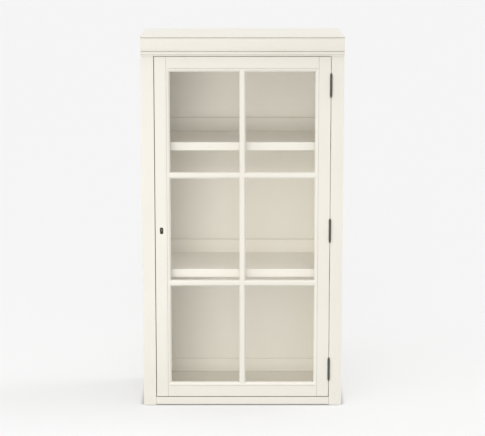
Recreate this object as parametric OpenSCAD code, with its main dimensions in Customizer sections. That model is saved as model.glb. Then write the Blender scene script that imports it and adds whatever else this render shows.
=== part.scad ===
// Free-standing glass-front cabinet: framed carcass, one glazed door on three butt hinges,
// a cupboard lock and two lift-off shelves.
// X runs to the right, Y runs from the front to the back, Z runs up.
// The origin is the middle of the footprint, on the floor.

/* [Overall size] */
// Width over the side panels
cabinet_w = 711; // [640:1:800]
// Height to the top of the crown
cabinet_h = 1328; // [1300:1:1400]
// Depth from the face frame to the back, without the crown
body_d = 360; // [320:1:420]
// How far the crown stands forward of the face frame
crown_out = 16; // [14:0.5:24]
// Height of the crown
crown_h = 68; // [60:0.5:80]

/* [Carcass] */
// Thickness of the sides, floor, ceiling and top
board_t = 18; // [16:0.5:20]
// Thickness of the back panel
back_t = 6; // [4:0.5:8]
// Height of the floor panel's upper surface
floor_top = 30; // [28:0.5:30]
// Height of the ceiling panel above the face frame's opening
ceiling_rise = 5; // [2:0.5:15]

/* [Face frame] */
// Width of the face-frame stiles
face_stile_w = 44.5; // [40:0.5:50]
// Thickness of the face frame
face_t = 20; // [18:0.5:24]
// Lower edge of the base rail above the floor
base_gap = 2; // [1:0.5:5]
// Upper edge of the base rail
base_top = 29; // [27:0.5:29]

/* [Door] */
// Gap round the door
door_gap = 2.6; // [1.5:0.1:3]
// Door thickness
door_t = 19.6; // [18:0.1:19.6]
// Width of the door frame members, moulding included
member_w = 53.5; // [50:0.5:60]
// Width of the moulded inner edge of the frame
stick_w = 13; // [10:0.5:15]
// Overall width of a glazing bar
bar_w = 22; // [18:0.5:26]
// Centre height of the lower glazing bar
low_bar_z = 448.5; // [400:0.5:500]
// Centre height of the upper glazing bar
high_bar_z = 837; // [780:0.5:900]
// Thickness of the glass
glass_t = 3; // [2:0.5:4]

/* [Hinges] */
// Length of a hinge leaf
hinge_l = 76; // [60:1:90]
// Diameter of the hinge barrel
barrel_d = 8.4; // [7:0.1:9]
// Diameter of the bore for the pin
pin_bore_d = 4; // [3:0.1:4.5]
// Distance of the outer hinge centres from the door's ends
hinge_inset = 101; // [80:0.5:140]

/* [Lock] */
// Height of the keyhole
lock_z = 639; // [500:1:760]
// Distance of the keyhole from the door's edge
backset = 21.5; // [20:0.5:23]

/* [Shelves] */
// Height of the upper shelf's surface
high_shelf_z = 950; // [900:1:1000]
// Height of the lower shelf's surface
low_shelf_z = 491; // [440:1:560]
// Distance of a shelf's front edge behind the face frame
shelf_setback = 45; // [40:1:70]
// Height of the shelf's front edging
nosing_h = 29.7; // [24:0.1:40]
// Height of the upstand at the back of a shelf
upstand_h = 50; // [30:1:60]

/* [Hidden] */
$fn = 48;

// Colours
PAINT = [0.95, 0.93, 0.88];
NICKEL = [0.62, 0.61, 0.58];
STEEL = [0.50, 0.50, 0.50];
BRONZE = [0.25, 0.22, 0.16];
BEECH = [0.80, 0.66, 0.47];
GLASS = [0.85, 0.92, 0.90, 0.35];

// Small numbers that the joinery shares
eps = 0.01;
fit_gap = 0.05;
loose = 0.4;

// Carcass planes
half_w = cabinet_w / 2;
inner_x = half_w - board_t;
back_y = (body_d + crown_out) / 2;
face_y = back_y - body_d;
panel_y = face_y + face_t;
back_rabbet = board_t / 2;
back_front_y = back_y - back_t;
floor_under = floor_top - board_t;
open_x = half_w - face_stile_w;

// Lower edge of the top rail and the crown, and underside of the ceiling
face_top_z = cabinet_h - crown_h;
ceiling_under = face_top_z + ceiling_rise;

// Door planes; s is measured out from the glass opening, d back from the face
door_x = open_x - door_gap;
door_z0 = base_top + door_gap;
door_z1 = face_top_z - door_gap;
sight_x = door_x - member_w;
sight_z0 = door_z0 + member_w - 1;
sight_z1 = door_z1 - member_w;
glass_d = 10;
rabbet_w = 8;
pane_bite = 7;
quirk_d = 1.7;
quirk_w = 1.3;
moulding_top_d = 0.5;
moulding_d = 6.2;
fillet_w = 1.2;
arc_steps = 9;

// Hinges
axis_x = (open_x + door_x) / 2;
axis_y = face_y - 3;
barrel_r = barrel_d / 2;
bore_r = pin_bore_d / 2;
leaf_t = 1.6;
leaf_gap = 0.4;
leaf_back = 22;
knuckles = 5;
knuckle_gap = 0.3;
hinge_zs = [door_z1 - hinge_inset, (door_z0 + door_z1) / 2 - 5, door_z0 + hinge_inset];
hinge_screw_step = 26;
screw_y = face_y + 11.5;

// Screws: head radius, shank radius, head height
screw_head_r = 3.1;
screw_r = 1.5;
screw_head_h = 1.5;
slot_w = 0.8;
slot_d = 0.6;
hinge_screw_l = 15;
strike_screw_l = 14;
lock_screw_l = 12;
back_screw_l = 22;

// Lock
key_x = -(door_x - backset);
case_w = 37;
case_h = 60;
case_d = 9.8;
case_wall = 1.8;
cover_t = 1.8;
cover_h = 78;
bolt_throw = 8;
bolt_h = 14;
bolt_t = 6;
bolt_z0 = lock_z + 8;
bolt_y0 = face_y + 11;
lock_edge_x = -door_x;
case_y0 = face_y + door_t - cover_t - case_d;

// Shelves
shelf_y0 = face_y + shelf_setback;
nosing_t = 18;
upstand_t = 10;
shelf_side_gap = 1;
shelf_back_gap = 0.5;
shelf_half = inner_x - shelf_side_gap;
pin_hole_r = 2.5;
pin_hole_depth = 11;
pin_pitch = 32;
pin_rest_gap = 0.2;
pin_plate_h = 3;
pin_ys = [shelf_y0 + 42, back_front_y - 37];

// Dowels
dowel_r = 4;
dowel_in = 11.5;
dowel_out = 22;
board_dowel_ys = [panel_y + 32, (panel_y + back_front_y) / 2, back_front_y - 32];
base_dowel_z = (base_gap + base_top) / 2;
top_dowel_zs = [face_top_z + 17, cabinet_h - 17];

// ---------- helpers ----------

// Box from one corner to the opposite one
module box(low, high) {
    translate(low) cube(high - low);
}

// Straight bar along X whose section is drawn as [y, z] points
module bar_along_x(x0, x1, points) {
    translate([x0, 0, 0]) rotate([90, 0, 90]) linear_extrude(x1 - x0) polygon(points);
}

// Cylinder along X between two planes
module rod_x(x0, x1, y, z, r) {
    translate([x0, y, z]) rotate([0, 90, 0]) cylinder(h = x1 - x0, r = r);
}

// Countersunk screw with its head face at the origin and its shank along +Z
module screw(length) {
    difference() {
        union() {
            cylinder(h = screw_head_h, r1 = screw_head_r, r2 = screw_r);
            cylinder(h = length, r = screw_r);
        }
        translate([-screw_head_r, -slot_w / 2, -eps]) cube([2 * screw_head_r, slot_w, slot_d]);
    }
}

// The hole that takes that screw, a little larger all over
module screw_hole(length) {
    translate([0, 0, -eps])
        cylinder(h = screw_head_h + fit_gap, r1 = screw_head_r + 0.1, r2 = screw_r + fit_gap);
    cylinder(h = length + 0.5, r = screw_r + fit_gap);
}

// Turns a shape made along +Z so that it runs along X
module along_x(sign) {
    rotate([0, sign * 90, 0]) children();
}

// ---------- carcass ----------

// Dowel holes and pin holes are cut from the left panel; the right one is its mirror
module side_panel() {
    difference() {
        box([-half_w, panel_y, 0], [-inner_x, back_y, cabinet_h]);
        box([-inner_x - back_rabbet, back_front_y, floor_under],
            [-inner_x + 1, back_y + 1, cabinet_h - board_t]);
        for (y = board_dowel_ys, z = board_zs()) dowel_bore(y, z);
        for (y = pin_ys, z = pin_zs(), k = [-1, 0, 1])
            rod_x(-inner_x - pin_hole_depth, -inner_x + 1, y, z + k * pin_pitch, pin_hole_r);
        for (z = side_screw_zs()) back_screw_bore(-inner_x - back_rabbet / 2, z);
    }
}

// Mid-heights of the boards that run between the sides
function board_zs() = [floor_top - board_t / 2, ceiling_under + board_t / 2,
                       cabinet_h - board_t / 2];

// Centre heights of the pins under the two shelves
function pin_zs() = [for (top = [high_shelf_z, low_shelf_z])
                     top - board_t - pin_rest_gap - pin_plate_h / 2];

// Heights of the back screws in a side panel
function side_screw_zs() = [for (k = [0 : 4]) floor_top + 60 + k * 290];

module dowel_bore(y, z) {
    rod_x(-inner_x - dowel_in - 0.5, -inner_x + dowel_out + 0.5, y, z, dowel_r + fit_gap);
}

module back_screw_bore(x, z) {
    translate([x, back_y, z]) rotate([90, 0, 0]) screw_hole(back_screw_l + 1);
}

module side_panel_left() {
    color(PAINT) side_panel();
}

module side_panel_right() {
    color(PAINT) mirror([1, 0, 0]) side_panel();
}

// A board between the sides, with dowel bores in both ends
module cross_board(z0, y1) {
    difference() {
        box([-inner_x, panel_y, z0], [inner_x, y1, z0 + board_t]);
        for (y = board_dowel_ys, side = [0, 1]) mirror([side, 0, 0]) dowel_bore(y, z0 + board_t / 2);
        if (y1 < back_y)
            for (x = back_screw_xs()) back_screw_bore(x, z0 + board_t / 2);
    }
}

// Positions of the back screws along the floor and the ceiling
function back_screw_xs() = [for (k = [-1, 0, 1]) k * (inner_x - 90)];

module floor_panel() {
    color(PAINT) cross_board(floor_under, back_front_y);
}

module ceiling_panel() {
    color(PAINT) cross_board(ceiling_under, back_front_y);
}

module top_board() {
    color(PAINT) cross_board(cabinet_h - board_t, back_y);
}

// All back screw places as [x, z]
function back_screw_places() = concat(
    [for (z = side_screw_zs(), side = [-1, 1]) [side * (inner_x + back_rabbet / 2), z]],
    [for (x = back_screw_xs(), k = [0, 1]) [x, board_zs()[k]]]
);

module back_panel() {
    slack = 0.3;
    x1 = inner_x + back_rabbet - slack;
    color(PAINT) difference() {
        box([-x1, back_front_y, floor_under], [x1, back_y, cabinet_h - board_t]);
        for (p = back_screw_places()) back_screw_bore(p[0], p[1]);
    }
}

module back_panel_screws() {
    color(STEEL) for (p = back_screw_places())
        translate([p[0], back_y, p[1]]) rotate([90, 0, 0]) screw(back_screw_l);
}

module face_stile(holes_for_hinges) {
    difference() {
        box([open_x, face_y, 0], [half_w, panel_y, cabinet_h]);
        for (z = concat([base_dowel_z], top_dowel_zs)) face_dowel_bore(z);
        if (holes_for_hinges) for (z = hinge_zs) hinge_mortise(z);
    }
}

// Dowel that joins a face-frame rail to the right-hand stile
module face_dowel_bore(z) {
    rod_x(open_x - dowel_out - 0.5, open_x + dowel_in + 0.5, (face_y + panel_y) / 2, z,
          dowel_r + fit_gap);
}

module face_stile_left() {
    color(PAINT) difference() {
        mirror([1, 0, 0]) face_stile(false);
        strike_recess();
    }
}

module face_stile_right() {
    color(PAINT) face_stile(true);
}

module face_rail(z0, z1, dowel_zs) {
    difference() {
        box([-open_x, face_y, z0], [open_x, panel_y, z1]);
        for (z = dowel_zs, side = [0, 1]) mirror([side, 0, 0]) face_dowel_bore(z);
    }
}

module face_top_rail() {
    color(PAINT) face_rail(face_top_z, cabinet_h, top_dowel_zs);
}

module base_rail() {
    color(PAINT) face_rail(base_gap, base_top, [base_dowel_z]);
}

// Rounded front edge of a band, from height v0 to v1, standing u out from the face
function band(v0, v1, u) = [[u - 1, v0], [u, v0 + 1], [u, v1 - 1], [u - 1, v1]];

// Section of the crown as [distance out from the face, height above its foot]:
// foot band, groove, flat, groove, bead, swelling frieze, shadow groove and top lip
function crown_section() =
    let (band_u = crown_out - 7, groove_u = crown_out - 9, bead_u = crown_out - 3,
         frieze_u0 = crown_out - 4.2, frieze_u1 = crown_out - 1,
         foot_v = 4.2, flat_v0 = 6.6, flat_v1 = 14.6, bead_v0 = 17.4, bead_v1 = 21.6,
         frieze_v1 = crown_h - 6, lip_v = crown_h - 2.6)
    concat(
        [[0, 0]], band(0, foot_v, band_u), [[groove_u, foot_v], [groove_u, flat_v0]],
        [[band_u, flat_v0], [band_u, flat_v1], [groove_u, flat_v1], [groove_u, bead_v0]],
        band(bead_v0, bead_v1, bead_u),
        [for (a = [0 : 7.5 : 90]) [frieze_u0 + (frieze_u1 - frieze_u0) * sin(a),
                                  bead_v1 + (frieze_v1 - bead_v1) * (1 - cos(a))]],
        [[crown_out - 4, frieze_v1], [crown_out - 4, lip_v]],
        band(lip_v, crown_h, crown_out), [[0, crown_h]]
    );

module crown_moulding() {
    color(PAINT) bar_along_x(-half_w, half_w,
        [for (p = crown_section()) [face_y - p[0], face_top_z + p[1]]]);
}

module floor_upstand() {
    color(PAINT) upstand(inner_x, floor_top, floor_top + upstand_h, back_front_y);
}

// Upright strip against the back, its upper front edge eased
module upstand(x1, z0, z1, y1) {
    ease = 2;
    y0 = y1 - upstand_t;
    bar_along_x(-x1, x1, [[y0, z0], [y1, z0], [y1, z1], [y0 + ease, z1], [y0, z1 - ease]]);
}

module door_stop_top() {
    stop_h = 17;
    stop_t = 12;
    end_gap = 12;
    color(PAINT) box([-open_x + end_gap, panel_y, ceiling_under - stop_h],
                     [open_x - end_gap, panel_y + stop_t, ceiling_under]);
}

module door_stop_side() {
    stop_t = 10;
    behind_stile = 14;
    lap = 6;
    color(PAINT) box([-open_x - behind_stile, panel_y, floor_top + 4],
                     [-open_x + door_gap + lap, panel_y + stop_t, ceiling_under - 20]);
}

module shelf_pins() {
    reach = 11;
    width = 8;
    flange_t = 0.8;
    color(NICKEL) for (y = pin_ys, z = pin_zs(), side = [0, 1]) mirror([side, 0, 0]) {
        rod_x(-inner_x - pin_hole_depth + 1, -inner_x, y, z, pin_hole_r - fit_gap);
        rod_x(-inner_x, -inner_x + flange_t, y, z, width / 2);
        box([-inner_x, y - width / 2, z - pin_plate_h / 2],
            [-inner_x + reach, y + width / 2, z + pin_plate_h / 2]);
    }
}

module carcass_dowels() {
    color(BEECH) for (side = [0, 1]) mirror([side, 0, 0]) {
        for (y = board_dowel_ys, z = board_zs())
            rod_x(-inner_x - dowel_in, -inner_x + dowel_out, y, z, dowel_r);
        for (z = concat([base_dowel_z], top_dowel_zs))
            rod_x(open_x - dowel_out, open_x + dowel_in, (face_y + panel_y) / 2, z, dowel_r);
    }
}

// ---------- lock side ----------

strike_t = 1.5;
strike_h = 46;
strike_z = bolt_z0 + bolt_h / 2;
strike_y0 = face_y + 5;
strike_y1 = panel_y - 1.5;
strike_screw_dz = 17;
strike_screw_y = (strike_y0 + strike_y1) / 2;

// Recess for the plate, pocket for the bolt and holes for the two screws
module strike_recess() {
    box([-open_x - strike_t, strike_y0, strike_z - strike_h / 2],
        [-open_x + 1, strike_y1, strike_z + strike_h / 2]);
    box([-open_x - bolt_throw - 5, bolt_y0 - loose, bolt_z0 - loose],
        [-open_x + 1, bolt_y0 + bolt_t + loose, bolt_z0 + bolt_h + loose]);
    for (k = [-1, 1]) strike_screw_place(k) screw_hole(strike_screw_l);
}

module strike_screw_place(k) {
    translate([-open_x, strike_screw_y, strike_z + k * strike_screw_dz]) along_x(-1) children();
}

module strike_plate() {
    color(NICKEL) difference() {
        box([-open_x - strike_t, strike_y0, strike_z - strike_h / 2],
            [-open_x, strike_y1, strike_z + strike_h / 2]);
        box([-open_x - strike_t - 1, bolt_y0 - loose, bolt_z0 - loose],
            [-open_x + 1, bolt_y0 + bolt_t + loose, bolt_z0 + bolt_h + loose]);
        for (k = [-1, 1]) strike_screw_place(k) screw_hole(strike_screw_l);
    }
}

module strike_screws() {
    color(STEEL) for (k = [-1, 1]) strike_screw_place(k) screw(strike_screw_l);
}

// Keyhole: a round eye with a slot below it, cut along Y
module keyhole_cut(y0, y1) {
    eye_r = 2.8;
    key_slot_w = 2.6;
    eye_z = lock_z + 3;
    translate([key_x, y1, eye_z]) rotate([90, 0, 0]) cylinder(h = y1 - y0, r = eye_r);
    box([key_x - key_slot_w / 2, y0, lock_z - 7.5], [key_x + key_slot_w / 2, y1, eye_z]);
}

escutcheon_r = 6;
escutcheon_half = 6;
escutcheon_in = 3;
escutcheon_out = 0.6;

// Plate with round ends, upright, between two depths
module escutcheon_body(y0, y1, r) {
    for (k = [-1, 1])
        translate([key_x, y1, lock_z + k * escutcheon_half]) rotate([90, 0, 0])
            cylinder(h = y1 - y0, r = r);
    box([key_x - r, y0, lock_z - escutcheon_half], [key_x + r, y1, lock_z + escutcheon_half]);
}

module keyhole_escutcheon() {
    color(BRONZE) difference() {
        escutcheon_body(face_y - escutcheon_out, face_y + escutcheon_in, escutcheon_r);
        keyhole_cut(face_y - 5, face_y + 5);
    }
}

module lock_case() {
    x1 = lock_edge_x + case_w;
    y1 = case_y0 + case_d;
    color(STEEL) difference() {
        box([lock_edge_x, case_y0, lock_z - case_h / 2], [x1, y1, lock_z + case_h / 2]);
        box([lock_edge_x + case_wall, case_y0 + case_wall, lock_z - case_h / 2 + case_wall],
            [x1 - case_wall, y1 + 1, lock_z + case_h / 2 - case_wall]);
        box([lock_edge_x - 1, bolt_y0 - loose, bolt_z0 - loose],
            [lock_edge_x + case_wall + 1, bolt_y0 + bolt_t + loose, bolt_z0 + bolt_h + loose]);
        keyhole_cut(case_y0 - 1, case_y0 + case_wall + 1);
    }
}

function lock_screw_places() = [for (dx = [7, 30], k = [-1, 1])
    [lock_edge_x + dx, lock_z + k * (cover_h / 2 - 4.5)]];

module lock_screw_place(p) {
    translate([p[0], face_y + door_t, p[1]]) rotate([90, 0, 0]) children();
}

// Back plate of the lock, with the post that a barrel key turns on
module lock_cover() {
    post_r = 1.1;
    y0 = face_y + door_t - cover_t;
    color(STEEL) difference() {
        union() {
            box([lock_edge_x, y0, lock_z - cover_h / 2],
                [lock_edge_x + case_w, y0 + cover_t, lock_z + cover_h / 2]);
            translate([key_x, y0 + eps, lock_z + 3]) rotate([90, 0, 0])
                cylinder(h = case_d + 3, r = post_r);
        }
        for (p = lock_screw_places()) lock_screw_place(p) screw_hole(lock_screw_l);
    }
}

// Bowed strip that presses down on the bolt from the top of the case
module lock_spring() {
    strip_t = 0.5;
    strip_w = 4;
    span = 26;
    room = lock_z + case_h / 2 - case_wall - (bolt_z0 + bolt_h);
    rise = room - strip_t - 0.6;
    x0 = lock_edge_x + case_wall + 2.5;
    z1 = lock_z + case_h / 2 - case_wall - 0.3;
    curve = [for (k = [0 : 12]) [x0 + span * k / 12, z1 - rise * sin(180 * k / 12)]];
    below = [for (k = [12 : -1 : 0]) [curve[k][0], curve[k][1] - strip_t]];
    color(STEEL) translate([0, bolt_y0 + (bolt_t + strip_w) / 2, 0]) rotate([90, 0, 0])
        linear_extrude(strip_w) polygon(concat(curve, below));
}

module lock_screws() {
    color(STEEL) for (p = lock_screw_places()) lock_screw_place(p) screw(lock_screw_l);
}

module lock_bolt() {
    length = 31;
    talon_w = 7;
    talon_d = 3.5;
    talon_x = key_x + 4;
    x0 = lock_edge_x + loose;
    color(NICKEL) difference() {
        box([x0, bolt_y0, bolt_z0], [x0 + length, bolt_y0 + bolt_t, bolt_z0 + bolt_h]);
        box([talon_x - talon_w / 2, bolt_y0 - 1, bolt_z0 - 1],
            [talon_x + talon_w / 2, bolt_y0 + bolt_t + 1, bolt_z0 + talon_d]);
    }
}

// ---------- door ----------

// Quarter curve of the moulding from its high edge to its low edge
function moulding_arc(s_high, s_low, d_high, d_low) =
    [for (k = [0 : arc_steps]) let (a = 90 * k / arc_steps)
        [s_high + (s_low - s_high) * sin(a), d_low + (d_high - d_low) * cos(a)]];

// Section of a frame member as [s, d], from its outer edge w round to the rabbet.
// A narrow groove parts the flat from the rounded moulding.
function member_section(w) = concat(
    [[w, 0], [stick_w, 0], [stick_w, quirk_d], [stick_w - quirk_w, quirk_d]],
    moulding_arc(stick_w - quirk_w, fillet_w, moulding_top_d, moulding_d),
    [[0, moulding_d], [0, glass_d], [rabbet_w, glass_d], [rabbet_w, door_t], [w, door_t]]
);

bar_flat = 3.6;
bar_front_d = 0.8;
bar_tongue = bar_w / 2 - rabbet_w;

// Section of a glazing bar as [offset from its middle, d]
function bar_half_section() = concat(
    [[bar_flat, bar_front_d]],
    moulding_arc(bar_flat, bar_w / 2 - fillet_w, bar_front_d, moulding_d),
    [[bar_w / 2, moulding_d], [bar_w / 2, glass_d], [bar_tongue, glass_d], [bar_tongue, door_t]]
);
function bar_section() = let (half = bar_half_section(), n = len(half))
    concat(half, [for (k = [n - 1 : -1 : 0]) [-half[k][0], half[k][1]]]);

module stile_blank(side) {
    translate([0, 0, door_z0]) linear_extrude(door_z1 - door_z0)
        polygon([for (p = member_section(member_w)) [side * (sight_x + p[0]), face_y + p[1]]]);
}

module rail_blank(sight_z, dir, w) {
    reach = sight_x + stick_w;
    bar_along_x(-reach, reach,
        [for (p = member_section(w)) [face_y + p[1], sight_z + dir * p[0]]]);
}

// Dowels that join a door rail to a stile; they lie behind the moulding
door_dowel_zs = [door_z0 + 14, door_z0 + 36, door_z1 - 14, door_z1 - 36];
door_dowel_d = door_t - 6;
door_dowel_r = 3;
door_dowel_in = 15;
door_dowel_out = 25;

module door_dowel(extra) {
    seam = sight_x + rabbet_w;
    for (z = door_dowel_zs)
        rod_x(seam - door_dowel_in - extra, seam + door_dowel_out + extra,
              face_y + door_dowel_d, z, door_dowel_r + extra / 10);
}

module door_stile_lock() {
    x1 = lock_edge_x + case_w;
    color(PAINT) difference() {
        stile_blank(-1);
        mirror([1, 0, 0]) door_dowel(0.5);
        box([lock_edge_x - 1, case_y0, lock_z - case_h / 2],
            [x1, face_y + door_t + 1, lock_z + case_h / 2]);
        box([lock_edge_x - 1, face_y + door_t - cover_t, lock_z - cover_h / 2],
            [x1, face_y + door_t + 1, lock_z + cover_h / 2]);
        for (p = lock_screw_places()) lock_screw_place(p) screw_hole(lock_screw_l);
        escutcheon_body(face_y - 1, face_y + escutcheon_in, escutcheon_r + fit_gap);
        keyhole_cut(face_y, case_y0 + 1);
    }
}

module door_stile_hinge() {
    color(PAINT) difference() {
        stile_blank(1);
        door_dowel(0.5);
        for (z = hinge_zs) hinge_mortise(z);
    }
}

// Rail scribed over the stiles. Beside the moulding it stops short of the stile's
// groove, so that the grooves of stile and rail meet in a corner.
module door_rail(sight_z, dir, w) {
    moulding_x = sight_x + stick_w - quirk_w;
    moulding_z0 = min(sight_z, sight_z + dir * stick_w);
    difference() {
        rail_blank(sight_z, dir, w);
        for (side = [-1, 1]) stile_blank(side);
        for (side = [0, 1]) mirror([side, 0, 0])
            box([moulding_x, face_y - 1, moulding_z0],
                [moulding_x + quirk_w + 1, face_y + door_t + 1, moulding_z0 + stick_w]);
        for (side = [0, 1]) mirror([side, 0, 0]) door_dowel(0.5);
    }
}

module door_top_rail() {
    color(PAINT) door_rail(sight_z1, 1, door_z1 - sight_z1);
}

module door_bottom_rail() {
    color(PAINT) door_rail(sight_z0, -1, sight_z0 - door_z0);
}

module door_dowels() {
    color(BEECH) for (side = [0, 1]) mirror([side, 0, 0]) door_dowel(0);
}

// How far a glazing bar runs in over the moulding of the frame
bar_scribe = stick_w - quirk_w;

module upright_blank() {
    translate([0, 0, sight_z0 - bar_scribe])
        linear_extrude(sight_z1 - sight_z0 + 2 * bar_scribe)
        polygon([for (p = bar_section()) [p[0], face_y + p[1]]]);
}

module glazing_bar_upright() {
    color(PAINT) difference() {
        upright_blank();
        rail_blank(sight_z0, -1, sight_z0 - door_z0);
        rail_blank(sight_z1, 1, door_z1 - sight_z1);
    }
}

// Short bar from a stile to the upright bar
module cross_bar(side, z) {
    x_out = sight_x + bar_scribe;
    color(PAINT) difference() {
        bar_along_x(side < 0 ? -x_out : 0, side < 0 ? 0 : x_out,
            [for (p = bar_section()) [face_y + p[1], z + p[0]]]);
        stile_blank(side);
        upright_blank();
    }
}

module glazing_bar_upper_left() {
    cross_bar(-1, high_bar_z);
}

module glazing_bar_upper_right() {
    cross_bar(1, high_bar_z);
}

module glazing_bar_lower_left() {
    cross_bar(-1, low_bar_z);
}

module glazing_bar_lower_right() {
    cross_bar(1, low_bar_z);
}

// Clear opening of a pane as [x0, x1, z0, z1]; side is -1 or 1, row counts up from 0
function pane_opening(side, row) =
    let (near = bar_w / 2, far = sight_x,
         z0s = [sight_z0, low_bar_z + bar_w / 2, high_bar_z + bar_w / 2],
         z1s = [low_bar_z - bar_w / 2, high_bar_z - bar_w / 2, sight_z1])
    [side < 0 ? -far : near, side < 0 ? -near : far, z0s[row], z1s[row]];

module pane(side, row) {
    o = pane_opening(side, row);
    color(GLASS) box([o[0] - pane_bite, face_y + glass_d, o[2] - pane_bite],
                     [o[1] + pane_bite, face_y + glass_d + glass_t, o[3] + pane_bite]);
}

module glass_top_left() {
    pane(-1, 2);
}

module glass_top_right() {
    pane(1, 2);
}

module glass_middle_left() {
    pane(-1, 1);
}

module glass_middle_right() {
    pane(1, 1);
}

module glass_bottom_left() {
    pane(-1, 0);
}

module glass_bottom_right() {
    pane(1, 0);
}

bead_s0 = 0.6;
bead_chamfer = 2.6;

// Section of a glazing bead as [s, d], s measured out from the opening
function bead_section() = let (d0 = glass_d + glass_t, d1 = door_t - 0.2, s1 = rabbet_w - 0.1)
    [[bead_s0, d0], [s1, d0], [s1, d1], [bead_s0 + bead_chamfer, d1], [bead_s0, d1 - bead_chamfer]];

// Two long beads above and below the pane, and two that just fit between them
module pane_beads(side, row) {
    o = pane_opening(side, row);
    out = rabbet_w - 0.1;
    joint = 0.1;
    for (k = [0, 1]) bar_along_x(o[0] - out, o[1] + out,
        [for (p = bead_section()) [face_y + p[1], k == 0 ? o[2] - p[0] : o[3] + p[0]]]);
    z0 = o[2] - bead_s0 + joint;
    z1 = o[3] + bead_s0 - joint;
    for (k = [0, 1]) translate([0, 0, z0]) linear_extrude(z1 - z0)
        polygon([for (p = bead_section()) [k == 0 ? o[0] - p[0] : o[1] + p[0], face_y + p[1]]]);
}

module glazing_beads() {
    color(PAINT) for (side = [-1, 1], row = [0 : 2]) pane_beads(side, row);
}

// ---------- hinges ----------

// Recess for both leaves and room for the barrel
module hinge_mortise(z) {
    t = leaf_t + leaf_gap / 2;
    box([axis_x - t, axis_y, z - hinge_l / 2], [axis_x + t, axis_y + leaf_back, z + hinge_l / 2]);
    translate([axis_x, axis_y, z - hinge_l / 2 - 5]) cylinder(h = hinge_l + 10, r = barrel_r + 0.3);
    for (k = [-1 : 1], side = [-1, 1]) hinge_screw_place(z, k, side) screw_hole(hinge_screw_l);
}

// Place of screw k in a leaf; side is -1 on the door and 1 on the face frame
module hinge_screw_place(z, k, side) {
    translate([axis_x + side * leaf_gap / 2, screw_y, z + k * hinge_screw_step])
        along_x(side) children();
}

// Leaf with its own knuckles; side is -1 on the door and 1 on the face frame
module hinge_leaf(z, side) {
    pitch = hinge_l / knuckles;
    own = side > 0 ? [0, 2, 4] : [1, 3];
    x_in = leaf_gap / 2;
    x_out = leaf_gap / 2 + leaf_t;
    low = z - hinge_l / 2;
    color(NICKEL) difference() {
        union() {
            leaf_plate(side, x_in, x_out, barrel_r + 0.3, leaf_back, low, low + hinge_l);
            for (n = own) {
                z0 = low + n * pitch + knuckle_gap / 2;
                z1 = low + (n + 1) * pitch - knuckle_gap / 2;
                leaf_plate(side, x_in, x_out, bore_r + 0.3, barrel_r + 0.4, z0, z1);
                translate([axis_x, axis_y, z0]) cylinder(h = z1 - z0, r = barrel_r);
            }
        }
        translate([axis_x, axis_y, low - 1]) cylinder(h = hinge_l + 2, r = bore_r);
        for (k = [-1 : 1]) hinge_screw_place(z, k, side) screw_hole(hinge_screw_l);
    }
}

// Flat piece of a leaf between two distances from the hinge axis
module leaf_plate(side, x_in, x_out, y0, y1, z0, z1) {
    xa = axis_x + side * x_in;
    xb = axis_x + side * x_out;
    box([min(xa, xb), axis_y + y0, z0], [max(xa, xb), axis_y + y1, z1]);
}

// Pin with a ball at each end
module hinge_pin(z) {
    ball_r = 3;
    neck = 0.6;
    reach = hinge_l / 2 + neck;
    color(NICKEL) translate([axis_x, axis_y, z]) {
        translate([0, 0, -reach - ball_r]) cylinder(h = 2 * (reach + ball_r), r = bore_r - fit_gap);
        for (k = [-1, 1]) translate([0, 0, k * (reach + ball_r * 0.9)]) sphere(r = ball_r);
    }
}

module hinge_screws(side) {
    color(STEEL) for (z = hinge_zs, k = [-1 : 1]) hinge_screw_place(z, k, side) screw(hinge_screw_l);
}

module hinge_top_frame_leaf() {
    hinge_leaf(hinge_zs[0], 1);
}

module hinge_middle_frame_leaf() {
    hinge_leaf(hinge_zs[1], 1);
}

module hinge_bottom_frame_leaf() {
    hinge_leaf(hinge_zs[2], 1);
}

module hinge_top_door_leaf() {
    hinge_leaf(hinge_zs[0], -1);
}

module hinge_middle_door_leaf() {
    hinge_leaf(hinge_zs[1], -1);
}

module hinge_bottom_door_leaf() {
    hinge_leaf(hinge_zs[2], -1);
}

module hinge_top_pin() {
    hinge_pin(hinge_zs[0]);
}

module hinge_middle_pin() {
    hinge_pin(hinge_zs[1]);
}

module hinge_bottom_pin() {
    hinge_pin(hinge_zs[2]);
}

module hinge_frame_screws() {
    hinge_screws(1);
}

module hinge_door_screws() {
    hinge_screws(-1);
}

// ---------- shelves ----------

module shelf_board(top) {
    color(PAINT) box([-shelf_half, shelf_y0 + nosing_t, top - board_t],
                     [shelf_half, back_front_y - shelf_back_gap - upstand_t, top]);
}

// Front edging, deeper than the board, its long edges eased
module shelf_nosing(top) {
    ease = 1.5;
    y0 = shelf_y0;
    y1 = shelf_y0 + nosing_t;
    z0 = top - nosing_h;
    color(PAINT) bar_along_x(-shelf_half, shelf_half,
        [[y0, z0 + ease], [y0 + ease, z0], [y1, z0], [y1, top], [y0 + ease, top], [y0, top - ease]]);
}

module shelf_upstand(top) {
    color(PAINT) upstand(shelf_half, top - board_t, top + upstand_h, back_front_y - shelf_back_gap);
}

module shelf_upper() {
    shelf_board(high_shelf_z);
}

module shelf_upper_nosing() {
    shelf_nosing(high_shelf_z);
}

module shelf_upper_upstand() {
    shelf_upstand(high_shelf_z);
}

module shelf_lower() {
    shelf_board(low_shelf_z);
}

module shelf_lower_nosing() {
    shelf_nosing(low_shelf_z);
}

module shelf_lower_upstand() {
    shelf_upstand(low_shelf_z);
}

// ---------- nodes ----------

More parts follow.
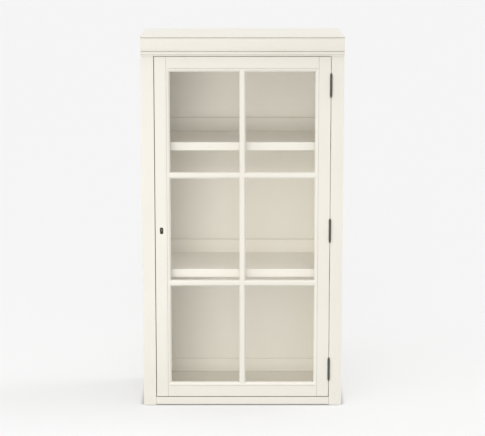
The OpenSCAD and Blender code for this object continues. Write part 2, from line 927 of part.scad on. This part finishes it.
side_panel_left();
side_panel_right();
floor_panel();
ceiling_panel();
top_board();
back_panel();
face_stile_left();
face_stile_right();
face_top_rail();
base_rail();
crown_moulding();
floor_upstand();
door_stop_top();
door_stop_side();
shelf_pins();
carcass_dowels();
back_panel_screws();
strike_plate();
strike_screws();
hinge_top_frame_leaf();
hinge_middle_frame_leaf();
hinge_bottom_frame_leaf();
hinge_top_pin();
hinge_middle_pin();
hinge_bottom_pin();
hinge_frame_screws();
door_stile_lock();
door_stile_hinge();
door_top_rail();
door_bottom_rail();
door_dowels();
glazing_bar_upright();
glazing_bar_upper_left();
glazing_bar_upper_right();
glazing_bar_lower_left();
glazing_bar_lower_right();
glass_top_left();
glass_top_right();
glass_middle_left();
glass_middle_right();
glass_bottom_left();
glass_bottom_right();
glazing_beads();
keyhole_escutcheon();
lock_case();
lock_cover();
lock_spring();
lock_screws();
lock_bolt();
hinge_top_door_leaf();
hinge_middle_door_leaf();
hinge_bottom_door_leaf();
hinge_door_screws();
shelf_upper();
shelf_upper_nosing();
shelf_upper_upstand();
shelf_lower();
shelf_lower_nosing();
shelf_lower_upstand();
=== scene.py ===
"""Looks of a glass-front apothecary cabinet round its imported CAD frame.

Metres, Z up, front towards -Y."""

import math

import bmesh
import bpy
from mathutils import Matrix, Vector


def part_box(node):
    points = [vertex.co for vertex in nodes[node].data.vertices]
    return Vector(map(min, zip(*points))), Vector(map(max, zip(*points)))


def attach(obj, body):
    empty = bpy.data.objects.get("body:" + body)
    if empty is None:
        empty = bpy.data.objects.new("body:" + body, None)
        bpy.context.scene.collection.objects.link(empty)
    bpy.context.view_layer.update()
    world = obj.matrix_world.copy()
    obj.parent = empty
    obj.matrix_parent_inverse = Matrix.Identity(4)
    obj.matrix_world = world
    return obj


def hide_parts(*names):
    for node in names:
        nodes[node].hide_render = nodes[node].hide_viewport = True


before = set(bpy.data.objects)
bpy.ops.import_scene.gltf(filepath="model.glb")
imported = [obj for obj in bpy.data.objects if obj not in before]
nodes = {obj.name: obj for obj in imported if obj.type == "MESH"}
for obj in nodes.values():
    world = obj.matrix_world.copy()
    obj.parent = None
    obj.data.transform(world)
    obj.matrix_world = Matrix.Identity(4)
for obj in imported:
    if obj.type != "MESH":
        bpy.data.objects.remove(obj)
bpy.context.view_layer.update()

MM = 0.001
UPRIGHT, ACROSS = 2, 0

# Photographic setting: a camera above the middle of the door, tilted down
IMAGE_WIDTH = 485
SENSOR = 36.0
CAMERA_DISTANCE = 6.2
CAMERA_HEIGHT = 1.83
CAMERA_PITCH = math.radians(10.46)
CAMERA_SEES_TO = 200
FOCAL_PIXELS = 1780
FLOOR_HALF = 60.0

# Finishes, as linear colours, and how far crevices gather grime and painted shade
IVORY = (0.80, 0.771, 0.695)
IVORY_THIN = (0.78, 0.746, 0.664)
# Painted light: the inside ivory is a lighter copy of the outside one, brightening the dim interior
IVORY_INSIDE_LIT = (0.94, 0.902, 0.815)
IVORY_INSIDE_LIT_THIN = (0.93, 0.886, 0.79)
# Dark brown for grime and painted shade in crevices, gaps and joints
GRIME_AND_SHADE = (0.20, 0.18, 0.145)
OPENNESS_SAMPLES = 8
GRIME_SHADE_REACH = 6 * MM
GRIME_SHADE_FULL, GRIME_SHADE_NONE = 0.14, 0.50
# Width of the painted shade line at each end of a rail
HAIRLINE = 0.9 * MM
# Painted shade: the nickel is darkened far below its own colour, a painted dark reflection of the studio
NICKEL_PAINTED_DARK = (0.10, 0.095, 0.088)
NICKEL_WORN_PAINTED_DARK = (0.16, 0.153, 0.142)
ZINC = (0.52, 0.53, 0.54)
ZINC_WORN = tuple(1.15 * c for c in ZINC)
BRONZE = (0.055, 0.045, 0.032)
BRONZE_WORN = (0.13, 0.10, 0.062)
BEECH = (0.62, 0.43, 0.25)
BEECH_GRAIN = tuple(0.72 * c for c in BEECH)
FLOOR = (0.45, 0.45, 0.45)
FLOOR_GLOW = 0.43
# Reach of the painted contact shadow on the floor, and the openness where it is darkest and where it ends
CONTACT_SHADOW_REACH = 30 * MM
CONTACT_SHADOW_DARK, CONTACT_SHADOW_LIT = 0.5, 0.82
GLASS_TINT = (0.985, 0.985, 0.98)
GLASS_PASS = (0.955, 0.955, 0.95)


# ---------- node helpers ----------


class Shader:
    """A material with short ways to add and join its nodes."""

    def __init__(self, name):
        self.mat = bpy.data.materials.new(name)
        self.mat.use_nodes = True
        self.tree = self.mat.node_tree
        self.bsdf = self.tree.nodes["Principled BSDF"]
        self.out = self.tree.nodes["Material Output"]

    def add(self, kind, **settings):
        node = self.tree.nodes.new(kind)
        for key, value in settings.items():
            if key in node.inputs:
                node.inputs[key].default_value = value
            else:
                setattr(node, key, value)
        return node

    def join(self, source, target):
        self.tree.links.new(source, target)

    def place(self, scale=(1, 1, 1)):
        """Object coordinates in metres, stretched by scale."""
        where = self.add("ShaderNodeTexCoord")
        stretch = self.add("ShaderNodeMapping")
        stretch.inputs["Scale"].default_value = scale
        self.join(where.outputs["Object"], stretch.inputs["Vector"])
        return stretch.outputs["Vector"]

    def noise(self, vector, scale, detail=3.0, rough=0.5):
        n = self.add("ShaderNodeTexNoise", Scale=scale, Detail=detail, Roughness=rough)
        self.join(vector, n.inputs["Vector"])
        return n.outputs["Fac"]

    def spread(self, value, low, high, to_low, to_high):
        """Value from low..high carried over to to_low..to_high."""
        m = self.add("ShaderNodeMapRange")
        limits = {"From Min": low, "From Max": high, "To Min": to_low, "To Max": to_high}
        for key, number in limits.items():
            m.inputs[key].default_value = number
        self.join(value, m.inputs["Value"])
        return m.outputs["Result"]

    def blend(self, value, low, colour_low, high, colour_high):
        """Colour that runs from colour_low, where value is low, to colour_high."""
        r = self.add("ShaderNodeValToRGB")
        for element, at, colour in zip(r.color_ramp.elements, (low, high), (colour_low, colour_high)):
            element.position = at
            element.color = (*colour, 1)
        self.join(value, r.inputs["Fac"])
        return r.outputs["Color"]

    def openness(self, distance):
        """1 on an open face, down to 0 deep in a crevice narrower than the distance."""
        near = self.add("ShaderNodeAmbientOcclusion", Distance=distance)
        near.samples = OPENNESS_SAMPLES
        return near.outputs["AO"]

    def within(self, length, width):
        """1 along a piece of that length in X, falling to 0 in the last width at both ends."""
        where = self.add("ShaderNodeTexCoord")
        parts = self.add("ShaderNodeSeparateXYZ")
        self.join(where.outputs["Generated"], parts.inputs["Vector"])
        from_middle = self.add("ShaderNodeMath", operation="SUBTRACT")
        self.join(parts.outputs["X"], from_middle.inputs[0])
        from_middle.inputs[1].default_value = 0.5
        either_way = self.add("ShaderNodeMath", operation="ABSOLUTE")
        self.join(from_middle.outputs["Value"], either_way.inputs[0])
        starts = 0.5 - width / length
        full = 0.5 - 0.7 * width / length
        return self.spread(either_way.outputs["Value"], starts, full, 1, 0)

    def bump(self, height, strength, distance, below=None):
        b = self.add("ShaderNodeBump", Strength=strength, Distance=distance)
        self.join(height, b.inputs["Height"])
        if below is not None:
            self.join(below, b.inputs["Normal"])
        return b.outputs["Normal"]


def for_rays(tree, ray, other_ray, usual, special, target):
    """Sends one shader to the target for two kinds of ray, and the usual shader for the rest."""
    path = tree.nodes.new("ShaderNodeLightPath")
    either = tree.nodes.new("ShaderNodeMath")
    either.operation = "MAXIMUM"
    tree.links.new(path.outputs[ray], either.inputs[0])
    tree.links.new(path.outputs[other_ray], either.inputs[1])
    mix = tree.nodes.new("ShaderNodeMixShader")
    tree.links.new(either.outputs["Value"], mix.inputs["Fac"])
    tree.links.new(usual, mix.inputs[1])
    tree.links.new(special, mix.inputs[2])
    tree.links.new(mix.outputs["Shader"], target)


def streak_scale(axis, along, across):
    """Texture scale that is long along one axis, as brush marks or grain are."""
    return tuple(along if k == axis else across for k in range(3))


def paint(name, axis, colour=IVORY, thin=IVORY_THIN, rail=None):
    """Satin ivory paint brushed along one axis, over faint wood grain, with grime and painted shade deep
    in the joints.

    A rail, which meets a stile at both ends, also has a hairline of painted shade where it butts."""
    s = Shader(name)
    brush = s.noise(s.place(streak_scale(axis, 5, 340)), 1.0, detail=4)
    grain = s.noise(s.place(streak_scale(axis, 1.6, 55)), 1.0, detail=5, rough=0.6)
    cloud = s.noise(s.place(), 3.2, detail=3)
    orange_peel = s.noise(s.place(), 900.0, detail=1)
    # Grime and painted shade: narrow crevices and gaps darken towards the dark brown
    clean_unshaded = s.spread(s.openness(GRIME_SHADE_REACH), GRIME_SHADE_FULL, GRIME_SHADE_NONE, 0, 1)
    # Painted shade hairline: both ends of a rail darken where it butts a stile
    if rail:
        low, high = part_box(rail)
        lesser = s.add("ShaderNodeMath", operation="MINIMUM")
        s.join(clean_unshaded, lesser.inputs[0])
        s.join(s.within(high.x - low.x, HAIRLINE), lesser.inputs[1])
        clean_unshaded = lesser.outputs["Value"]
    grime_and_shade_mix = s.add("ShaderNodeMix", data_type="RGBA")
    s.join(clean_unshaded, grime_and_shade_mix.inputs["Factor"])
    grime_and_shade_mix.inputs["A"].default_value = (*GRIME_AND_SHADE, 1)
    s.join(s.blend(cloud, 0.32, thin, 0.58, colour), grime_and_shade_mix.inputs["B"])
    s.join(grime_and_shade_mix.outputs["Result"], s.bsdf.inputs["Base Color"])
    s.join(s.spread(grain, 0.3, 0.7, 0.36, 0.47), s.bsdf.inputs["Roughness"])
    normal = s.bump(grain, 0.10, 0.35 * MM)
    normal = s.bump(brush, 0.16, 0.12 * MM, normal)
    normal = s.bump(orange_peel, 0.05, 0.05 * MM, normal)
    s.join(normal, s.bsdf.inputs["Normal"])
    s.bsdf.inputs["Specular IOR Level"].default_value = 0.42
    return s.mat


def metal(name, colour, worn, rough, axis=UPRIGHT):
    """Drawn metal with fine lines along an axis and lighter, rubbed patches."""
    s = Shader(name)
    lines = s.noise(s.place(streak_scale(axis, 60, 2600)), 1.0, detail=2)
    rubbed = s.noise(s.place(), 420.0, detail=4, rough=0.6)
    s.join(s.blend(rubbed, 0.36, colour, 0.76, worn), s.bsdf.inputs["Base Color"])
    s.join(s.spread(rubbed, 0.3, 0.7, rough + 0.1, rough - 0.06), s.bsdf.inputs["Roughness"])
    s.join(s.bump(lines, 0.12, 0.05 * MM), s.bsdf.inputs["Normal"])
    s.bsdf.inputs["Metallic"].default_value = 1.0
    return s.mat


def beech(name):
    """Bare beech with its grain along the dowels."""
    s = Shader(name)
    grain = s.noise(s.place(streak_scale(ACROSS, 8, 700)), 1.0, detail=5)
    s.join(s.blend(grain, 0.35, BEECH_GRAIN, 0.62, BEECH), s.bsdf.inputs["Base Color"])
    s.join(s.spread(grain, 0.3, 0.7, 0.7, 0.55), s.bsdf.inputs["Roughness"])
    s.join(s.bump(grain, 0.2, 0.1 * MM), s.bsdf.inputs["Normal"])
    return s.mat


def glass(name):
    """Slightly uneven cylinder glass, which lamps and bounced light pass straight through."""
    s = Shader(name)
    s.bsdf.inputs["Base Color"].default_value = (*GLASS_TINT, 1)
    s.bsdf.inputs["Transmission Weight"].default_value = 1.0
    s.bsdf.inputs["IOR"].default_value = 1.46
    s.bsdf.inputs["Roughness"].default_value = 0.0
    waves = s.noise(s.place((1, 1, 0.45)), 16.0, detail=2)
    s.join(s.bump(waves, 0.12, 0.6 * MM), s.bsdf.inputs["Normal"])
    clear = s.add("ShaderNodeBsdfTransparent")
    clear.inputs["Color"].default_value = (*GLASS_PASS, 1)
    for_rays(s.tree, "Is Shadow Ray", "Is Diffuse Ray",
             s.bsdf.outputs["BSDF"], clear.outputs["BSDF"], s.out.inputs["Surface"])
    return s.mat


def floor_paint(name):
    """Matt floor that looks white but throws little light back up, with a painted contact shadow where
    something stands.
    """
    s = Shader(name)
    s.bsdf.inputs["Base Color"].default_value = (*FLOOR, 1)
    s.bsdf.inputs["Roughness"].default_value = 1.0
    s.bsdf.inputs["Specular IOR Level"].default_value = 0.0
    glow = s.add("ShaderNodeEmission")
    # Painted contact shadow: the floor's glow dims where the cabinet stands close
    lit = s.spread(s.openness(CONTACT_SHADOW_REACH), CONTACT_SHADOW_DARK, CONTACT_SHADOW_LIT, 0, FLOOR_GLOW)
    s.join(lit, glow.inputs["Strength"])
    both = s.add("ShaderNodeAddShader")
    s.join(s.bsdf.outputs["BSDF"], both.inputs[0])
    s.join(glow.outputs["Emission"], both.inputs[1])
    for_rays(s.tree, "Is Camera Ray", "Is Glossy Ray",
             s.bsdf.outputs["BSDF"], both.outputs["Shader"], s.out.inputs["Surface"])
    return s.mat


paint_upright = paint("ivory_paint_upright", UPRIGHT)
paint_across = paint("ivory_paint_across", ACROSS)
paint_rails = {rail: paint("ivory_paint_" + rail, ACROSS, rail=rail)
               for rail in ("door_top_rail", "door_bottom_rail", "base_rail")}
# Painted light: back, shelves, floor and ceiling take the lighter inside ivory
paint_back_lit = paint("ivory_paint_inside_lit_upright", UPRIGHT, IVORY_INSIDE_LIT, IVORY_INSIDE_LIT_THIN)
paint_inside_lit = paint("ivory_paint_inside_lit_across", ACROSS, IVORY_INSIDE_LIT, IVORY_INSIDE_LIT_THIN)
# Nickel with a painted dark reflection in its colour
nickel = metal("satin_nickel_painted_dark", NICKEL_PAINTED_DARK, NICKEL_WORN_PAINTED_DARK, 0.30)
zinc = metal("zinc_plate", ZINC, ZINC_WORN, 0.34, ACROSS)
bronze = metal("dark_bronze", BRONZE, BRONZE_WORN, 0.36)
beech_wood = beech("beech")
pane_glass = glass("window_glass")


# ---------- carried-over CAD nodes ----------

WOOD_EDGE = 0.6 * MM
METAL_EDGE = 0.22 * MM
SCREW_EDGE = 0.12 * MM
WELD_WITHIN = 0.004 * MM
FLAT_WITHIN = math.radians(0.8)
CRISP_FROM = math.radians(32)
UPRIGHT_WOOD = ("side_panel", "face_stile", "door_stile", "glazing_bar_upright", "door_stop_side")
INSIDE_WOOD = ("ceiling_panel", "floor_panel", "floor_upstand", "shelf_upper", "shelf_lower")


def soften(obj, width):
    """Rounds the crisp CAD edges and smooths its facets, in modifiers only."""
    weld = obj.modifiers.new("weld", "WELD")
    weld.merge_threshold = WELD_WITHIN
    flat = obj.modifiers.new("flat", "DECIMATE")
    flat.decimate_type = "DISSOLVE"
    flat.angle_limit = FLAT_WITHIN
    edge = obj.modifiers.new("edge", "BEVEL")
    edge.width = width
    edge.segments = 2
    edge.limit_method = "ANGLE"
    edge.angle_limit = CRISP_FROM
    edge.use_clamp_overlap = True
    even = obj.modifiers.new("even", "WEIGHTED_NORMAL")
    even.mode = "FACE_AREA"
    even.weight = 100
    obj.data.shade_smooth()


def finish_of(name):
    """Material and edge radius of a CAD node, from its name."""
    if name.startswith("glass_"):
        return pane_glass, 0
    if name.endswith("_dowels"):
        return beech_wood, 0
    if name.endswith("_screws") or name in ("lock_case", "lock_cover", "lock_spring"):
        return zinc, SCREW_EDGE
    if name.startswith("hinge_") or name in ("strike_plate", "lock_bolt"):
        return nickel, METAL_EDGE
    if name == "back_panel":
        return paint_back_lit, WOOD_EDGE
    if name.startswith(INSIDE_WOOD):
        return paint_inside_lit, WOOD_EDGE
    if name.startswith(UPRIGHT_WOOD):
        return paint_upright, WOOD_EDGE
    return paint_rails.get(name, paint_across), WOOD_EDGE


HINGES = ("hinge_top", "hinge_middle", "hinge_bottom")
REBUILT = tuple(h + "_pin" for h in HINGES) + ("keyhole_escutcheon", "shelf_pins")

for name, obj in nodes.items():
    if name in REBUILT:
        continue
    material, edge = finish_of(name)
    obj.data.materials.clear()
    obj.data.materials.append(material)
    if edge:
        soften(obj, edge)


# ---------- small metal parts, rebuilt in more detail ----------


def add_piece(name, mesh, material, slot, body, *replaced):
    """Puts a new mesh in the scene in place of CAD nodes, on the same body."""
    mesh.materials.clear()
    mesh.materials.append(material)
    obj = bpy.data.objects.new(name, mesh)
    bpy.context.scene.collection.objects.link(obj)
    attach(obj, body)
    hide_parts(*replaced)


def loft(mesh_builder, rings, closed=False):
    """Skins rings of points, capped at both ends unless the last ring joins the first."""
    rows = [[mesh_builder.verts.new(p) for p in ring] for ring in rings]
    count = len(rows[0])
    pairs = list(zip(rows, rows[1:]))
    if closed:
        pairs.append((rows[-1], rows[0]))
    for low, high in pairs:
        for k in range(count):
            n = (k + 1) % count
            mesh_builder.faces.new((low[k], low[n], high[n], high[k])).smooth = True
    if not closed:
        mesh_builder.faces.new(list(reversed(rows[0])))
        mesh_builder.faces.new(rows[-1])


def to_mesh(mesh_builder, name, sharp=50):
    """Finished mesh with outward faces, shaded smooth except across sharp edges."""
    bmesh.ops.recalc_face_normals(mesh_builder, faces=mesh_builder.faces)
    for edge in mesh_builder.edges:
        if len(edge.link_faces) == 2 and edge.calc_face_angle() > math.radians(sharp):
            edge.smooth = False
    mesh = bpy.data.meshes.new(name)
    mesh_builder.to_mesh(mesh)
    mesh_builder.free()
    return mesh


def lathe(mesh_builder, profile, centre, axis, steps=40):
    """Turns (radius, distance along axis) pairs about an axis through centre, ACROSS or UPRIGHT."""
    rings = []
    for radius, along in profile:
        ring = []
        for k in range(steps):
            a = 2 * math.pi * k / steps
            flat = (radius * math.cos(a), radius * math.sin(a))
            offset = (along, *flat) if axis == ACROSS else (*flat, along)
            ring.append(centre + Vector(offset))
        rings.append(ring)
    loft(mesh_builder, rings)


def finial(base, tip):
    """Turned end of a hinge pin from the knuckle's end to its tip, as (radius, height)."""
    neck = base + 1.05 * MM
    ball = 2.35 * MM
    middle = tip - ball
    profile = [(1.75 * MM, base - 0.6 * MM), (1.75 * MM, base + 0.05 * MM), (2.75 * MM, base + 0.1 * MM),
               (2.98 * MM, base + 0.3 * MM), (2.98 * MM, base + 0.55 * MM), (2.6 * MM, base + 0.8 * MM),
               (1.7 * MM, neck), (1.55 * MM, neck + 0.3 * MM)]
    for k in range(9):
        a = math.radians(-48 + 15.5 * k)
        profile.append((ball * math.cos(a), middle + ball * math.sin(a)))
    profile.append((0.35 * MM, tip - 0.01 * MM))
    return profile


def make_hinge_pin(hinge):
    """Pin through the five knuckles with a small ball finial at each end."""
    low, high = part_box(hinge + "_pin")
    centre = (low + high) / 2
    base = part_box(hinge + "_frame_leaf")[1].z - centre.z
    tip = high.z - centre.z
    upper = finial(base, tip)
    lower = [(radius, -height) for radius, height in reversed(upper)]
    builder = bmesh.new()
    lathe(builder, lower + upper, centre, UPRIGHT)
    mesh = to_mesh(builder, hinge + "_turned_pin")
    add_piece(hinge + "_turned_pin", mesh, nickel, "nickel", "carcass", hinge + "_pin")


# Keyhole, measured from the middle of its round eye
EYE_R = 2.8 * MM
SLOT_HALF = 1.3 * MM
SLOT_DROP = 10.5 * MM
EYE_ABOVE_MIDDLE = 3.0 * MM


def keyhole_reach(angle):
    """Distance from the eye's middle to the keyhole's edge; angle 0 is straight down."""
    lean = abs((angle + math.pi) % (2 * math.pi) - math.pi)
    if lean >= math.asin(SLOT_HALF / EYE_R):
        return EYE_R
    return min(SLOT_HALF / max(math.sin(lean), 1e-6), SLOT_DROP / math.cos(lean))


def plate_reach(angle, half_width, half_height):
    """Distance from the eye's middle to the edge of the round-ended plate."""
    straight = half_height - half_width
    low, high = 0.0, 2 * half_height
    for _ in range(40):
        reach = (low + high) / 2
        x = reach * math.sin(angle)
        z = EYE_ABOVE_MIDDLE - reach * math.cos(angle)
        beyond = math.hypot(x, max(abs(z) - straight, 0.0)) - half_width
        low, high = (low, reach) if beyond > 0 else (reach, high)
    return low


def make_escutcheon():
    """Thread escutcheon: a domed rim round the keyhole on a plate let into the stile."""
    low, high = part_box("keyhole_escutcheon")
    middle = (low + high) / 2
    half_width, half_height = (high.x - low.x) / 2, (high.z - low.z) / 2
    corner = math.atan(SLOT_HALF / SLOT_DROP)
    brow = math.asin(SLOT_HALF / EYE_R)
    angles = sorted({math.radians(3 * k) for k in range(120)}
                    | {corner, brow, 2 * math.pi - corner, 2 * math.pi - brow})
    front = low.y
    # Across the rim: share of the way out from the keyhole, and depth behind the front
    section = [(0.0, high.y - front), (0.0, 0.55 * MM), (0.05, 0.22 * MM), (0.14, 0.04 * MM),
               (0.26, 0.0), (0.42, 0.10 * MM), (0.58, 0.24 * MM), (0.70, 0.22 * MM), (0.80, 0.06 * MM),
               (0.88, 0.02 * MM), (0.95, 0.12 * MM), (1.0, 0.34 * MM), (1.0, high.y - front)]
    rings = []
    for share, depth in section:
        ring = []
        for angle in angles:
            inner = keyhole_reach(angle)
            reach = inner + share * (plate_reach(angle, half_width, half_height) - inner)
            ring.append((middle.x + reach * math.sin(angle), front + depth,
                         middle.z + EYE_ABOVE_MIDDLE - reach * math.cos(angle)))
        rings.append(ring)
    builder = bmesh.new()
    loft(builder, rings, closed=True)
    mesh = to_mesh(builder, "turned_escutcheon")
    add_piece("turned_escutcheon", mesh, bronze, "bronze", "door", "keyhole_escutcheon")


def spoon_outline(reach, width, steps=10):
    """Round-ended tongue seen from above, from the wall out, as (out, aside)."""
    half = width / 2
    nose = 0.8 * half
    points = [(0.0, -half)]
    for k in range(steps + 1):
        a = -math.pi / 2 + math.pi * k / steps
        points.append((reach - nose + nose * math.cos(a), half * math.sin(a)))
    points.append((0.0, half))
    return points


def make_shelf_pins():
    """Eight spoon-shaped shelf supports pushed into the side panels."""
    low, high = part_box("shelf_pins")
    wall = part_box("side_panel_right")[0].x
    width, thick, reach, flange = 8.0 * MM, 3.0 * MM, 11.0 * MM, 0.8 * MM
    root = 0.3 * MM
    stub_r = 2.45 * MM
    stub_l = high.x - wall
    # Across the spoon's thickness: share of the thickness up from its middle, and share of its outline
    layers = ((-0.5, 0.86), (-0.42, 0.97), (-0.3, 1.0), (0.36, 1.0), (0.46, 0.97), (0.5, 0.9))
    builder = bmesh.new()
    for side in (-1, 1):
        for y in (low.y + width / 2, high.y - width / 2):
            for z in (low.z + width / 2, high.z - width / 2):
                foot = Vector((side * wall, y, z))
                peg = [(stub_r * 0.72, side * stub_l), (stub_r, side * (stub_l - 0.6 * MM)),
                       (stub_r, 0.0), (width / 2, 0.0), (width / 2, -side * 0.55 * flange),
                       (width / 2 * 0.93, -side * flange), (stub_r, -side * flange)]
                lathe(builder, peg, foot, ACROSS, steps=28)
                rings = []
                for rise, shrink in layers:
                    ring = []
                    for out, aside in spoon_outline(reach, width):
                        outwards = root + (out - root) * shrink
                        ring.append(foot + Vector((-side * outwards, aside * shrink, rise * thick)))
                    rings.append(ring)
                loft(builder, rings)
    mesh = to_mesh(builder, "spoon_shelf_pins", sharp=38)
    add_piece("spoon_shelf_pins", mesh, nickel, "nickel", "carcass", "shelf_pins")


for hinge in HINGES:
    make_hinge_pin(hinge)
make_escutcheon()
make_shelf_pins()


# ---------- stage ----------


def make_floor():
    mesh = bpy.data.meshes.new("floor")
    signs = ((-1, -1), (1, -1), (1, 1), (-1, 1))
    corners = [(x * FLOOR_HALF, y * FLOOR_HALF, 0) for x, y in signs]
    mesh.from_pydata(corners, [], [(0, 1, 2, 3)])
    mesh.materials.append(floor_paint("floor"))
    floor = bpy.data.objects.new("floor", mesh)
    bpy.context.scene.collection.objects.link(floor)


def make_sun(name, azimuth, elevation, strength, spread):
    """Soft light from a direction. Azimuth 0 is from the front, positive from the right."""
    a, e = math.radians(azimuth), math.radians(elevation)
    towards = Vector((math.sin(a) * math.cos(e), -math.cos(a) * math.cos(e), math.sin(e)))
    lamp = bpy.data.lights.new(name, "SUN")
    lamp.energy = strength
    lamp.angle = math.radians(spread)
    sun = bpy.data.objects.new(name, lamp)
    sun.rotation_mode = "QUATERNION"
    sun.rotation_quaternion = towards.to_track_quat("Z", "Y")
    bpy.context.scene.collection.objects.link(sun)


def make_softbox(name, place, target, width, height, power):
    """Large rectangular lamp at a place, turned towards a target, that is neither seen nor mirrored."""
    lamp = bpy.data.lights.new(name, "AREA")
    lamp.shape = "RECTANGLE"
    lamp.size = width
    lamp.size_y = height
    lamp.energy = power
    box = bpy.data.objects.new(name, lamp)
    box.location = place
    box.rotation_mode = "QUATERNION"
    box.rotation_quaternion = (Vector(place) - Vector(target)).to_track_quat("Z", "Y")
    box.visible_camera = False
    box.visible_glossy = False
    box.visible_transmission = False
    bpy.context.scene.collection.objects.link(box)


def make_world(ambient, seen):
    """Even white surroundings, with one strength as light and another as the backdrop seen or mirrored."""
    world = bpy.data.worlds.new("studio")
    world.use_nodes = True
    tree = world.node_tree
    light = tree.nodes["Background"]
    light.inputs["Color"].default_value = (1, 1, 1, 1)
    light.inputs["Strength"].default_value = ambient
    backdrop = tree.nodes.new("ShaderNodeBackground")
    backdrop.inputs["Color"].default_value = (1, 1, 1, 1)
    backdrop.inputs["Strength"].default_value = seen
    for_rays(tree, "Is Camera Ray", "Is Glossy Ray", light.outputs["Background"],
             backdrop.outputs["Background"], tree.nodes["World Output"].inputs["Surface"])
    bpy.context.scene.world = world


def make_camera():
    data = bpy.data.cameras.new("camera")
    data.sensor_width = SENSOR
    data.lens = FOCAL_PIXELS * SENSOR / IMAGE_WIDTH
    data.clip_end = CAMERA_SEES_TO
    camera = bpy.data.objects.new("camera", data)
    face_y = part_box("face_stile_left")[0].y
    camera.location = (0, face_y - CAMERA_DISTANCE, CAMERA_HEIGHT)
    camera.rotation_euler = (math.pi / 2 - CAMERA_PITCH, 0, 0)
    bpy.context.scene.collection.objects.link(camera)
    bpy.context.scene.camera = camera


make_floor()
make_world(ambient=0.50, seen=0.93)
make_softbox("key", place=(-0.65, -2.9, 0.64), target=(0, 0, 0.5), width=2.2, height=0.8, power=34)
# Name, azimuth, elevation, strength and spread
make_sun("top_front", 0, 28, 0.42, 40)
make_sun("top", 0, 85, 1.1, 50)
make_sun("left_front", -55, 18, 0.35, 30)
make_sun("right_fill", 100, 24, 1.0, 30)
make_camera()

bpy.context.scene.view_settings.view_transform = "Standard"
